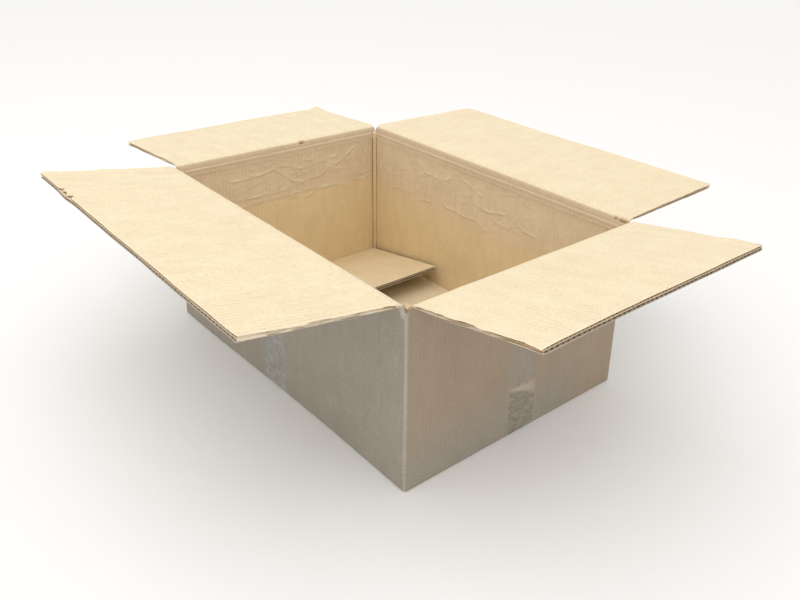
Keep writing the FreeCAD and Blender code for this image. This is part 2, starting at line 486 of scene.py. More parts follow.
def make_paper(name, face, dark, pale, lit_and_rubbed, dusty, flute_share, crumple_share, roughness):
    """A paper with clouds, fibres, flecks, flute lines, rubbed edges and fine creases, and with painted light
    and painted shade in its colour.
    """
    material = bpy.data.materials.new(name)
    material.use_nodes = True
    tree = material.node_tree
    shader = tree.nodes["Principled BSDF"]
    place = read_value(tree, "place").outputs["Vector"]
    wear = read_value(tree, "wear").outputs["Fac"]
    light_and_rubbing = read_value(tree, "light_and_rubbing").outputs["Fac"]
    grime = read_value(tree, "grime").outputs["Fac"]
    shade = read_value(tree, "shade").outputs["Fac"]
    fibres = fill(tree, add(tree, "ShaderNodeGroup", None, node_tree=fibres_group), {"Place": place})
    flutes = fill(tree, add(tree, "ShaderNodeGroup", None, node_tree=flutes_group), {"Place": place})
    rubbed = fill(
        tree, add(tree, "ShaderNodeGroup", None, node_tree=rubbed_group), {"Place": place, "Wear": wear}
    )
    net = fill(tree, add(tree, "ShaderNodeGroup", None, node_tree=crumple_group), {"Place": place})
    creased = calculate(tree, "MULTIPLY", net.outputs["Crease"], grime)
    # Paler colour: painted light on the lit flap tops, crease strips and floor, and real rubbing outside.
    colour = tint(tree, light_and_rubbing, face, lit_and_rubbed)
    colour = tint(tree, grime, colour, dusty)
    cloudy = step_between(tree, fibres.outputs["Cloud"], 0.3, 0.75, 0.0, 0.08)
    colour = tint(tree, cloudy, colour, dark, "MULTIPLY")
    grainy = step_between(tree, fibres.outputs["Grain"], 0.38, 0.64, 0.0, 0.2)
    colour = tint(tree, grainy, colour, dark, "MULTIPLY")
    # Painted shade along the sunk lines between the flutes.
    lined = calculate(tree, "MULTIPLY", flutes.outputs["Line"], flute_share)
    colour = tint(tree, lined, colour, dark, "MULTIPLY")
    flecked = calculate(tree, "MULTIPLY", fibres.outputs["Dark Flecks"], 0.55)
    colour = tint(tree, flecked, colour, dark)
    light_flecked = calculate(tree, "MULTIPLY", fibres.outputs["Pale Flecks"], 0.45)
    colour = tint(tree, light_flecked, colour, pale)
    # The crease net is tinted pale: partly creased paper and partly a painted highlight on the wrinkles.
    colour = tint(tree, calculate(tree, "MULTIPLY", creased, crumple_share), colour, pale)
    # wear is rubbed paper; on the crumpled walls' crease tops it is also a painted highlight.
    colour = tint(tree, calculate(tree, "MULTIPLY", rubbed.outputs["Mask"], 0.8), colour, pale)
    # Painted shade, from the mesh's shade value.
    colour = tint(tree, shade, colour, dark, "MULTIPLY")
    tree.links.new(colour, shader.inputs["Base Color"])
    shader.inputs["Roughness"].default_value = roughness
    shader.inputs["Specular IOR Level"].default_value = 0.25
    fine = calculate(tree, "MULTIPLY", fibres.outputs["Grain"], 0.00006)
    height = calculate(tree, "MULTIPLY_ADD", flutes.outputs["Height"], 0.00012, fine)
    height = calculate(tree, "MULTIPLY_ADD", creased, 0.0002, height)
    bump = add(tree, "ShaderNodeBump", {"Height": height, "Distance": 1.0, "Strength": 1.0})
    tree.links.new(bump.outputs["Normal"], shader.inputs["Normal"])
    return material


inside_paper = make_paper(
    "inside_liner",
    face=paint(238, 219, 180),
    dark=paint(164, 130, 90),
    pale=paint(242, 230, 204),
    # On the inside liner this paler colour is painted light for the lit flap tops and the floor.
    lit_and_rubbed=paint(245, 231, 199),
    dusty=paint(232, 216, 188),
    flute_share=0.14,
    crumple_share=0.1,
    roughness=0.72,
)
outside_paper = make_paper(
    "outside_liner",
    face=paint(172, 154, 132),
    dark=paint(120, 104, 84),
    pale=paint(206, 196, 178),
    lit_and_rubbed=paint(196, 191, 178),
    dusty=paint(164, 158, 146),
    flute_share=0.10,
    crumple_share=0.15,
    roughness=0.62,
)
flute_paper = make_paper(
    "fluting",
    face=paint(208, 180, 138),
    dark=paint(120, 90, 58),
    pale=paint(240, 226, 204),
    lit_and_rubbed=paint(224, 202, 168),
    dusty=paint(176, 152, 122),
    flute_share=0.0,
    crumple_share=0.0,
    roughness=0.85,
)
print("papers:", inside_paper.name, outside_paper.name, flute_paper.name)

# %% [markdown]
# ## The walls
#
# The four walls are one sheet, folded at four upright creases. A profile runs up the outside of
# the wall, over the rim and down the inside, and it is carried once round the box. Outside, the
# creases are rounded. Inside, each one is a crushed strip with a groove on both sides, and painted
# shade in the grooves makes the two dark lines in the far corner.

# %% Lay out the stations round the box
corner_radius = 4.5
crease_width = 4.0
groove_depth = 1.4
wall_names = ("front", "right", "back", "left")
wall_out = {"front": (0, -1), "right": (1, 0), "back": (0, 1), "left": (-1, 0)}
wall_run = {"front": (1, 0), "right": (0, 1), "back": (-1, 0), "left": (0, -1)}
wall_half_run = {
    "front": half_width, "back": half_width, "left": half_length, "right": half_length
}
wall_half_deep = {
    "front": half_length, "back": half_length, "left": half_width, "right": half_width
}
wall_spacing = {"front": 5.0, "right": 2.2, "back": 2.0, "left": 5.0}


def wall_stations(name):
    """Outer point, inner point, way out and place along the wall, for each station."""
    out = np.array(wall_out[name], float)
    run = np.array(wall_run[name], float)
    half_run = wall_half_run[name]
    half_deep = wall_half_deep[name]
    outer_half = half_run - corner_radius
    inner_half = half_run - board - crease_width
    shares = spread(-1.0, 1.0, wall_spacing[name] / inner_half, near=(0.006, 0.012, 0.03))
    rows = []
    for share in shares:
        groove = groove_depth * (1 - smooth(inner_half * (1 - abs(share)), 0.0, 2.4))
        outer = out * half_deep + run * outer_half * share
        inner = out * (half_deep - board + groove) + run * inner_half * share
        rows.append((outer, inner, out, inner_half * share))
    return rows


def corner_stations(name, after):
    """The stations round the crease between one wall and the next."""
    out = np.array(wall_out[name], float)
    out_after = np.array(wall_out[after], float)
    centre = out * (wall_half_deep[name] - corner_radius)
    centre = centre + out_after * (wall_half_deep[after] - corner_radius)
    first = out * (wall_half_deep[name] - board)
    first = first + out_after * (wall_half_deep[after] - board - crease_width)
    last = out * (wall_half_deep[name] - board - crease_width)
    last = last + out_after * (wall_half_deep[after] - board)
    rows = []
    for share in np.linspace(0, 1, 9)[1:-1]:
        angle = share * math.pi / 2
        way = out * math.cos(angle) + out_after * math.sin(angle)
        outer = centre + way * corner_radius
        across_crease = first + (last - first) * share
        groove = groove_depth * (1 - smooth(min(share, 1 - share), 0.0, 0.3))
        inner = across_crease + way * groove
        rows.append((outer, inner, way, wall_half_run[name] + share))
    return rows


stations = []
station_wall = []
for number, name in enumerate(wall_names):
    after = wall_names[(number + 1) % 4]
    rows = wall_stations(name)
    stations += rows
    station_wall += [number] * len(rows)
    rows = corner_stations(name, after)
    stations += rows
    station_wall += [-1 - number] * len(rows)
outer_line = np.array([row[0] for row in stations])
inner_line = np.array([row[1] for row in stations])
way_out = np.array([row[2] for row in stations])
along_wall = np.array([row[3] for row in stations])
station_wall = np.array(station_wall)
steps_round = np.linalg.norm(np.roll(outer_line, -1, axis=0) - outer_line, axis=1)
round_length = np.concatenate([[0.0], np.cumsum(steps_round)[:-1]])
print("stations round the box:", len(stations))

# %% [markdown]
# The box isn't quite square: the foot of its far left corner has spread outwards. `settle` moves
# any point of the carton with it.

# %% Spread the far left corner
spread_foot = 8.5
spread_from = -140.0


def settle(points):
    """Points of the carton after its far left corner has spread at the foot."""
    moved = np.array(points, float)
    share = smooth(moved[..., 1], spread_from, half_length) * smooth(-moved[..., 0], 0, half_width)
    low = np.clip(1 - moved[..., 2] / rim, 0, 1)
    moved[..., 0] = moved[..., 0] - spread_foot * share * low
    return moved


# %% [markdown]
# ** Creases in the liner.** The upper half of the far walls was crumpled and pressed flat again, so
# the liner there stands up in thin ridges. Each ridge is a line of a few given points on the wall,
# and the wall's surface rises over it and sinks a little below it.

# %% Shape the insides of the walls
back_creases = [
    [(-125, 163), (-90, 168), (-35, 171), (25, 172), (60, 171), (100, 169), (120, 164), (145, 155)],
    [(-125, 186), (-55, 180), (-18, 183), (13, 188), (70, 193), (87, 204), (125, 197)],
    [(-120, 230), (-109, 217), (-80, 218), (-50, 219), (-28, 224), (-10, 212), (13, 193), (35, 194)],
    [(-50, 240), (-40, 231), (-4, 225), (27, 215), (45, 215), (91, 223), (111, 225)],
    [(100, 203), (124, 220), (152, 238), (166, 250)],
    [(57, 252), (55, 219)],
    [(123, 260), (122, 229)],
    [(-78, 236), (-60, 229)],
    [(150, 180), (168, 177), (184, 184)],
    [(140, 170), (165, 166), (182, 172)],
    [(30, 158), (60, 165), (95, 172)],
    [(168, 232), (172, 210), (170, 192)],
]
right_creases = [
    [(266, 232), (272, 213), (267, 193), (282, 172)],
    [(255, 214), (258, 196), (250, 180)],
    [(149, 230), (139, 216), (112, 213), (96, 191)],
    [(108, 241), (107, 225)],
    [(118, 211), (94, 213), (65, 225)],
    [(66, 236), (30, 227), (-15, 209)],
    [(154, 160), (115, 165)],
    [(92, 170), (76, 167), (44, 166), (3, 164), (-28, 157)],
    [(128, 252), (104, 250)],
    [(20, 196), (-20, 190), (-70, 200)],
    [(-60, 176), (-90, 186), (-140, 182)],
    [(180, 226), (168, 214), (172, 204)],
]
ridge_height = 0.9
ridge_width = 1.3
faint_share = 0.5


def faint_creases(low_x, high_x, low_z, high_z, number, seed):
    """Short, nearly level crease lines scattered over the crumpled part of a wall."""
    chance = np.random.default_rng(seed)
    lines = []
    for _ in range(number):
        x = chance.uniform(low_x, high_x)
        z = chance.uniform(low_z, high_z)
        line = [(x, z)]
        for _ in range(chance.integers(2, 5)):
            x = x + chance.uniform(9, 20)
            z = z + chance.uniform(-9, 9)
            line.append((x, z))
        lines.append(line)
    return lines


back_faint = faint_creases(-130, 140, 165, 246, 34, 501)
right_faint = faint_creases(-150, 250, 160, 246, 40, 502)
band_edge = {"back": (166, 6, 5), "right": (160, 9, 26)}


def ridge_field(x, z, lines):
    """How far the liner stands up over a set of crease lines, its tops and its valleys. The tops are pale,
    partly rubbed paper and partly a painted highlight; the valleys take painted shade.
    """
    total = np.zeros(x.shape)
    tops = np.zeros(x.shape)
    valleys = np.zeros(x.shape)
    for number, line in enumerate(lines):
        nearest = np.full(x.shape, 1e6)
        side = np.zeros(x.shape)
        length_at = np.zeros(x.shape)
        run = 0.0
        for (x0, z0), (x1, z1) in zip(line[:-1], line[1:]):
            dx, dz = x1 - x0, z1 - z0
            length = math.hypot(dx, dz)
            share = np.clip(((x - x0) * dx + (z - z0) * dz) / length**2, 0, 1)
            away_x = x - x0 - share * dx
            away_z = z - z0 - share * dz
            away = np.hypot(away_x, away_z)
            closer = away < nearest
            nearest = np.where(closer, away, nearest)
            side = np.where(closer, np.where(away_z >= 0, away, -away), side)
            length_at = np.where(closer, run + share * length, length_at)
            run += length
        ends = smooth(length_at, 0.0, 9.0) * smooth(run - length_at, 0.0, 9.0)
        uneven = 0.75 + 0.35 * ripple(length_at, 0 * length_at, 16, 300 + number)
        wobble = 1.2 * ripple(length_at, 0 * length_at, 22, 400 + number)
        over = np.exp(-(((side - wobble) / ridge_width) ** 2))
        under = np.exp(-(((side - wobble + 3.4) / 2.2) ** 2))
        total = total + (over - 0.3 * under) * ends * uneven
        tops = np.maximum(tops, over * ends * uneven)
        valleys = np.maximum(valleys, under * ends * uneven)
    return total * ridge_height, tops, valleys


def inside_relief(name, along, z):
    """How far a wall's inside stands into the box, how grey it is, how pale its crease tops are (partly
    rubbed, partly a painted highlight), and its painted shade.
    """
    bow = 1.0 * ripple(along, z, 190, 11 + wall_names.index(name))
    fade = smooth(z, 8, 40) * smooth(rim - z, 4, 20)
    none = np.zeros(z.shape)
    # groove marks the corner grooves; they are darkened with painted shade.
    groove = 1 - smooth(wall_half_run[name] - board - crease_width - np.abs(along), 0.3, 2.6)
    if name not in band_edge:
        return bow * fade, none, none, 0.8 * groove
    x = -along if name == "back" else along
    lines = back_creases if name == "back" else right_creases
    edge, waver, soft = band_edge[name]
    border = edge + waver * ripple(x, 0 * x, 90, 21) * 0.6
    band = smooth(z, border - soft, border + soft)
    fine = 0.13 * ripple(x, z, 8, 31) + 0.2 * ripple(x, z, 19, 32)
    ridges, tops, valleys = ridge_field(x, z, lines)
    small, small_tops, small_valleys = ridge_field(x, z, back_faint if name == "back" else right_faint)
    ridges = ridges + faint_share * small
    tops = np.maximum(tops, faint_share * small_tops)
    valleys = np.maximum(valleys, faint_share * small_valleys)
    relief = bow * fade + ridges + band * fine * fade
    # Painted shade: under the crease ridges, towards the rim, and in the corner grooves. The tops' paleness
    # is partly a painted highlight.
    under_rim = 0.2 * smooth(z, rim - 34, rim - 6)
    shaded = np.maximum(0.15 * valleys, under_rim)
    return relief, band, 0.9 * tops, np.maximum(shaded, 0.8 * groove)


# %% [markdown]
# **The outside.** The outside faces are nearly flat, with shallow dents. The front left crease has
# been rubbed pale, and near its foot the liner is cracked in short level nicks.

# %% Shape the outsides of the walls
near_corner = -1 - wall_names.index("left")
nick_heights = (16, 21, 26, 34, 38, 47, 55, 70, 96, 123, 150)


def outside_relief(name, along, z):
    """How far a wall's outside stands out at each point."""
    seed = 41 + wall_names.index(name)
    shallow = 0.9 * ripple(along, z, 170, seed) + 0.25 * ripple(along, z, 60, seed + 4)
    fade = smooth(z, 4, 40) * smooth(rim - z, 14, 50)
    return shallow * fade


def nick_depth(z):
    """How deep the cracks across the near crease are at each height."""
    total = np.zeros(z.shape)
    for height in nick_heights:
        deep = 1.1 if height < 60 else 0.5
        total = total + deep * np.exp(-(((z - height) / 0.9) ** 2))
    return total


# %% [markdown]
# The profile is a list of heights, each with an inset from the wall's face. It runs up the outside,
# over the rim and down the inside. The loops put every point of the wall in its place and note its
# wear and grime, and its painted shade; on the crumpled walls inside, the wear of the crease tops
# is also a painted highlight. The rim stays low, because the crease strips cover it. On the front
# wall two places are greyer: the foot, and a band above the seam tape, where a longer tape was once
# pulled off.

# %% Build the walls
bottom_round = 2.0
underside = 0.3
low_heights = np.arange(6.0, 62.0, 2.0)
high_heights = np.linspace(66.0, rim - 12.0, 22)
outer_profile = [(underside, board), (underside, bottom_round)]
for angle in (30, 60):
    turn = math.radians(angle)
    outer_profile.append(
        (underside + bottom_round * (1 - math.cos(turn)), bottom_round * (1 - math.sin(turn)))
    )
outer_profile.append((underside + bottom_round, 0.0))
outer_profile += [(height, 0.0) for height in low_heights]
outer_profile += [(height, 0.0) for height in high_heights]
outer_profile += [(rim - 8.0, 0.0), (rim - 5.0, 1.2), (rim - 3.6, 2.8)]
fine_heights = np.arange(rim - 6.0, 132.0, -2.0)
coarse_heights = np.linspace(126.0, board + 2.0, 18)
inner_profile = [(rim - 3.5, 2.6), (rim - 4.6, 0.8)]
inner_profile += [(height, 0.0) for height in fine_heights]
inner_profile += [(height, 0.0) for height in coarse_heights]
inner_profile += [(board - 1.0, 0.0)]

outside_rows = len(outer_profile)
profile = outer_profile + inner_profile
count = len(stations)
wall_points = np.zeros((len(profile), count, 3))
wall_wear = np.zeros((len(profile), count))
wall_grime = np.zeros((len(profile), count))
wall_bleach = np.zeros((len(profile), count))
wall_shade = np.zeros((len(profile), count))
for row, (height, inset) in enumerate(profile):
    outside = row < outside_rows
    line = outer_line if outside else inner_line
    relief = np.zeros(count)
    for number, name in enumerate(wall_names):
        here = station_wall == number
        z = np.full(here.sum(), height)
        if outside:
            relief[here] = outside_relief(name, along_wall[here], z)
            wall_grime[row, here] = {"left": 0.85, "front": 0.1}.get(name, 0.4)
            if name == "front":
                mark = smooth(along_wall[here], -29, -25) * (1 - smooth(along_wall[here], 20, 24))
                above = mark * smooth(z, 70, 74) * (1 - smooth(z, 132, 146))
                foot = 0.7 * (1 - smooth(z, 10, 110)) * (1 - smooth(along_wall[here], 60, 160))
                wall_grime[row, here] = np.maximum(0.1 + 0.6 * above, 0.1 + foot)
        else:
            # Inside, the wear is the pale crease tops, partly rubbing and partly painted highlight, and the
            # last value is painted shade.
            raised, band, rubbed, shaded = inside_relief(name, along_wall[here], z)
            relief[here] = -raised
            wall_grime[row, here] = band
            wall_wear[row, here] = rubbed
            wall_shade[row, here] = shaded
    creased = station_wall < 0
    if outside:
        near = station_wall == near_corner
        relief[near] -= nick_depth(np.full(near.sum(), height))
        wall_grime[row, creased] = 0.5
        rubbed_width = 9.0 + 3.5 * height / rim + 1.5 * ripple(height, 0.0, 40, 51)
        left = station_wall == wall_names.index("left")
        from_near = half_length - along_wall[left]
        wall_bleach[row, left] = 1 - smooth(from_near, rubbed_width - 2, rubbed_width + 1)
        wall_bleach[row, near] = 1 - smooth(np.arange(near.sum()), 3.5, 5.5)
    else:
        wall_grime[row, creased] = 0.5 * smooth(np.full(creased.sum(), height), 160, 190)
    shift = relief - inset if outside else relief + inset
    wall_points[row, :, :2] = line + way_out * shift[:, None]
    wall_points[row, :, 2] = height

wall_points = settle(wall_points)
wrapped = np.arange(len(profile) * count).reshape(len(profile), count)
wrapped = np.concatenate([wrapped, wrapped[:, :1]], axis=1)
wrapped = np.concatenate([wrapped, wrapped[:1, :]], axis=0)
wall_faces = quads(wrapped)
face_row = np.repeat(np.arange(len(profile)), count)
wall_place = np.zeros((len(profile), count, 3))
wall_place[:, :, 0] = round_length[None, :]
wall_place[:, :, 1] = np.array([height for height, _ in profile])[:, None]
wall_place[outside_rows:, :, 2] = 300.0
walls = make_piece(
    "walls",
    wall_points.reshape(-1, 3),
    wall_faces,
    [outside_paper, inside_paper],
    {
        "place": wall_place.reshape(-1, 3),
        "wear": wall_wear.ravel(),
        "grime": wall_grime.ravel(),
        "light_and_rubbing": wall_bleach.ravel(),
        "shade": wall_shade.ravel(),
    },
    which=np.where((face_row >= outside_rows - 1) & (face_row < len(profile) - 1), 1, 0),
)
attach(walls, "carton")
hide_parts("box_shell")
print("walls:", len(wall_faces), "faces")

# %% [markdown]
# ## The floor
#
# The two long bottom flaps meet in the middle. From inside they are plain panels, and the loose
# end flaps cover most of them.

# %% Build the floor panels
floor_gap = 2.0
for side, label in ((-1, "left"), (1, "right")):
    x = spread(floor_gap / 2, inner_half_width, 12.0)
    y = spread(-inner_half_length + 0.5, inner_half_length - 0.5, 12.0)
    grid_y, grid_x = np.meshgrid(y, x, indexing="ij")
    sag = 0.4 * ripple(grid_x, grid_y, 120, 61 + side)
    sag = sag * smooth(grid_x, 0, 40) * smooth(inner_half_width - grid_x, 0, 30)
    upper = np.stack([side * grid_x, grid_y, board + sag - 0.9], axis=-1)
    lower = np.stack([side * grid_x, grid_y, np.full(grid_x.shape, underside)], axis=-1)
    edge = 1 - smooth(grid_x - floor_gap / 2, 0, 1.5)
    panel_place = np.stack([grid_y, grid_x, np.full(grid_x.shape, 500.0 + side)], axis=-1)
    # The floor panels take 0.8 of the paler colour: painted light that brightens the floor inside the box.
    values = {"place": panel_place, "wear": 0.7 * edge, "light_and_rubbing": 0.8 + 0 * edge}
    panel = slab(f"floor_{label}", settle(upper), settle(lower), [inside_paper], values)
    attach(panel, "carton")
    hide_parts("box_shell")
    print(panel.name, "has", len(panel.data.polygons), "faces")

# %% [markdown]
# ## A flap of double-wall board
#
# Each flap is what the real one is: three liners with two layers of flutes between them. The
# flutes run out from the crease, so they show as small arches along the free edge and as long
# slits along the sides. `on_flap` takes a place on the flat board (along the crease, out from the
# wall, up through the board) and puts it where the flap leans at rest.

# %% Describe the flaps
# Heights of each liner's two faces above the outside of the board
layers = {
    "outer_liner": (0.0, 0.4),
    "middle_liner": (3.85, 4.15),
    "inner_liner": (6.6, 7.0),
}
# Heights that each layer of flutes fills, and the width of one flute
flute_layers = {
    "coarse_flutes": (0.4, 3.85, 7.8),
    "fine_flutes": (4.15, 6.6, 6.4),
}
# How far out from the wall the flap's layers start, and its crease strip ends
join = 12.0


def flap_record(name, body, node, joint, axis, out, reach, root, tip, ragged, seed, extra):
    """Everything that the builders below need to know about one flap.

    root and tip are the two side edges at the crease and at the free edge, and ragged is how far
    each one is worn back. The flap leans by lean plus tilt, and by twist less or more at its sides.
    """
    out = np.array(out, float)
    turn = joints[joint]
    pivot = np.array(turn["pos_m"]) / MM
    face = half_width if abs(out[0]) > 0 else half_length
    flap = {
        "name": name, "body": body, "node": node, "reach": reach, "seed": seed,
        "along": np.array(axis, float), "out": out, "wall": name.split("_")[0],
        "origin": out * face + np.array([0, 0, rim]),
        "fold_out": abs(pivot @ out) - face, "fold_up": pivot[2] - rim,
        "lean": 180.0 - turn["range_deg"][1], "twist": 0.0, "tilt": 0.0,
        "root": root, "tip": tip, "ragged": ragged, "notch": None, "join": join,
        # Every liner takes the paler colour at full strength; on the inner liner it is painted light on the
        # lit top.
        "crush": 0.35, "light_and_rubbing": 1.0, "short": 0.0,
    }
    flap.update(extra)
    return flap


back_dents = ((52, 0.05, 60), (78, 0.06, 30), (104, 0.07, 40), (128, 0.04, 70), (150, 0.05, 20))


def back_warp(u, v):
    """The back flap: one corner curls up, and flutes are pressed in near it."""
    curl = 7.0 * smooth(u, 168, 208) * smooth(v, 150, 200)
    dents = np.zeros(np.broadcast(u, v).shape)
    for place, lean, start in back_dents:
        line = np.exp(-(((u - place - lean * v) / 2.4) ** 2))
        dents = dents - 0.9 * line * smooth(v, start, start + 40)
    hole = -5.0 * smooth(-np.abs(u - 37), -5, -3) * smooth(-np.abs(v - 15), -5, -2)
    wave = 0.5 * (1 + ripple(u, v, 150, 74)) * smooth(195 - np.abs(u), 0, 40)
    return curl + dents + hole + np.maximum(wave, 0)


def left_warp(u, v):
    """The left flap: a shallow sag, and a crushed place at the outer edge."""
    crushed = -2.2 * np.exp(-(((u - 187) / 20) ** 2)) * smooth(v, 178, 204)
    return crushed + np.minimum(-0.6 * (1 + ripple(u, v, 190, 71)), 0)


def back_notch(u):
    """How far the upper liner of the back flap is torn back at its curled corner."""
    return 5.0 * smooth(u, 166, 172) * (0.8 + 0.3 * ripple(u, 0 * u, 9, 83))


def plain_warp(seed, height, half):
    """A shallow waviness to one side of flat, so that closed flaps don't cut into each other."""
    edge = 30.0

    def warp(u, v):
        wave = np.maximum(0.5 * (1 + ripple(u, v, 180, seed)), 0)
        return height * wave * smooth(half - np.abs(u), 0, edge)

    return warp


def left_notch(u):
    """How far the upper liner of the left flap is torn back from its outer edge."""
    main = 6.5 * smooth(u, 160, 172) * (1 - smooth(u, 196, 203))
    far = 8.0 * np.exp(-(((u - 207) / 3.5) ** 2))
    return main * (0.75 + 0.4 * ripple(u, 0 * u, 8, 81)) + far


flaps = [
    flap_record(
        "left_flap", "left_flap", "long_flap_left", "left_flap_fold", (0, 1, 0), (-1, 0, 0),
        204.0, (-292.4, 292.4), (-290.5, 293.5), (1.6, 0.5), 101,
        {"warp": left_warp, "notch": left_notch},
    ),
    flap_record(
        "front_flap", "front_flap", "end_flap_front", "front_flap_fold", (1, 0, 0), (0, -1, 0),
        203.0, (-197.4, 196.5), (-199.5, 189.0), (1.2, 0.8), 102,
        {"warp": plain_warp(72, 1.2, 197.0), "short": 4.5},
    ),
    flap_record(
        "right_flap", "right_flap", "long_flap_right", "right_flap_fold", (0, 1, 0), (1, 0, 0),
        204.0, (-292.4, 292.0), (-294.0, 255.5), (0.5, 0.5), 103,
        {"warp": plain_warp(73, -1.2, 292.0), "twist": 0.34, "tilt": -0.34},
    ),
    flap_record(
        "back_flap", "back_flap", "end_flap_back", "back_flap_fold", (1, 0, 0), (0, 1, 0),
        199.0, (-197.4, 197.0), (-200.5, 195.0), (0.6, 0.4), 104,
        {"warp": back_warp, "notch": back_notch},
    ),
]
for flap in flaps:
    print(f"{flap['name']}: leans {flap['lean']:.1f} degrees, reaches {flap['reach']:.0f} mm")

# %% [markdown]
# The next functions give a flap's outline and the height of each layer. Towards the crease and
# along the sides the board is crushed thinner, and each layer's edge wanders by itself, which
# opens the dark slits between the liners.

# %% Shape one flap


def on_flap(flap, u, v, w):
    """Points of the flat board put where the flap is at rest."""
    low, high = flap["root"]
    twist = flap["twist"] * (2 * (u - low) / (high - low) - 1)
    lean = np.radians(flap["lean"] + flap["tilt"] + twist)
    dv = v - flap["fold_out"]
    dw = w - flap["fold_up"]
    out = flap["fold_out"] + dv * np.cos(lean) - dw * np.sin(lean)
    up = flap["fold_up"] + dv * np.sin(lean) + dw * np.cos(lean)
    flat = flap["origin"] + u[..., None] * flap["along"] + out[..., None] * flap["out"]
    return flat + up[..., None] * np.array([0.0, 0.0, 1.0])


def side_line(flap, v, side, seed, inset):
    """Where one side edge runs, for each distance from the wall."""
    root, tip = flap["root"][side], flap["tip"][side]
    straight = root + (tip - root) * np.clip((v - flap["join"]) / (flap["reach"] - flap["join"]), 0, 1)
    tear = 0.6 * ripple(v, 0 * v, 26, seed) + 0.4 * ripple(v, 0 * v, 7, seed + 1)
    worn = flap["ragged"][side] * (0.8 + tear) * smooth(v, flap["join"] + 1, flap["join"] + 12)
    return straight + (1 if side == 0 else -1) * (worn + inset)


def thinned(flap, u, v):
    """The board's thickness as a share, crushed at the crease and along its sides."""
    low, high = flap["root"]
    edge = np.minimum(u - low, high - u)
    near_root = 1 - np.clip(v / flap["reach"], 0, 1)
    sides = flap["crush"] * (0.25 + 0.75 * near_root) * np.exp(-np.clip(edge, 0, None) / 5.0)
    crease = 0.22 * np.exp(-np.clip(v - flap["join"], 0, None) / 8.0)
    return 1 - np.clip(sides + crease, 0, 0.7)


def board_height(flap, u, v, w):
    """The height of a layer after crushing and warping: the inner liner keeps its level."""
    height = board - (board - w) * thinned(flap, u, v)
    return height + flap["warp"](u, v) * smooth(v, flap["join"], flap["join"] + 20)


def liner_grid(flap, layer, spacing):
    """Places along and out for one liner, rows going out, with its ragged outline."""
    number = list(layers).index(layer)
    seed = flap["seed"] * 10 + number * 3
    inset = (2.0, 1.2, 0.0)[number] if flap["ragged"][0] > 1 else (0.5, 0.4, 0.0)[number]
    v = spread(flap["join"], flap["reach"], spacing)
    low = side_line(flap, v, 0, seed, inset)
    high = side_line(flap, v, 1, seed + 7, inset * 0.5)
    share = spread(0.0, 1.0, spacing / (flap["root"][1] - flap["root"][0]), near=(0.0014, 0.004, 0.009))
    u = low[:, None] + (high - low)[:, None] * share[None, :]
    trim = 0.25 * ripple(u, 0 * u, 40, seed + 2) + 0.25
    trim = trim + flap["short"] * np.clip((flap["root"][1] - u) / 390, 0, 1)
    if flap["notch"] is not None and layer == "inner_liner":
        trim = trim + flap["notch"](u)
    stretch = (v - flap["join"]) / (flap["reach"] - flap["join"])
    return u, flap["join"] + stretch[:, None] * (flap["reach"] - trim - flap["join"])


# %% [markdown]
# A liner is a sheet with ragged sides, rubbed pale along its cut edges. Near the torn sides it
# lifts and dips a little by itself.

# %% Build the liners of a flap


def build_liner(flap, layer, material, spacing=6.0):
    """One liner of a flap as a closed sheet."""
    u, v = liner_grid(flap, layer, spacing)
    low, high = layers[layer]
    seed = flap["seed"] * 10 + list(layers).index(layer)
    side = np.minimum(u - u[:, :1], u[:, -1:] - u)
    lift = np.exp(-side / 4.0) * flap["ragged"][0] * 0.5 * ripple(v, 0 * v, 30, seed + 5)
    lift = lift * smooth(v, flap["join"] + 1, flap["join"] + 15)
    upper = on_flap(flap, u, v, board_height(flap, u, v, high) + lift)
    lower = on_flap(flap, u, v, board_height(flap, u, v, low) + lift)
    edge = np.minimum(side, v[-1:, :] - v)
    wear = 0.85 * (1 - smooth(edge, 0.2, 1.6))
    ends = np.full(u.shape, flap["seed"] * 7.0 + low)
    values = {
        "place": np.stack([u, v, ends], axis=-1),
        "wear": wear,
        "light_and_rubbing": np.full(u.shape, flap["light_and_rubbing"]),
    }
    piece = slab(f"{flap['name']}_{layer}", upper, lower, [material], values)
    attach(piece, flap["body"])
    return piece


# %% [markdown]
# A flute layer is a wavy sheet: its section is a sine with flattened tips, where it is glued to
# the liners. It stops a little short of the liners' edges, so the arches sit in shadow.

# %% Build the flutes of a flap
points_per_flute = 8
flute_sheet = 0.3


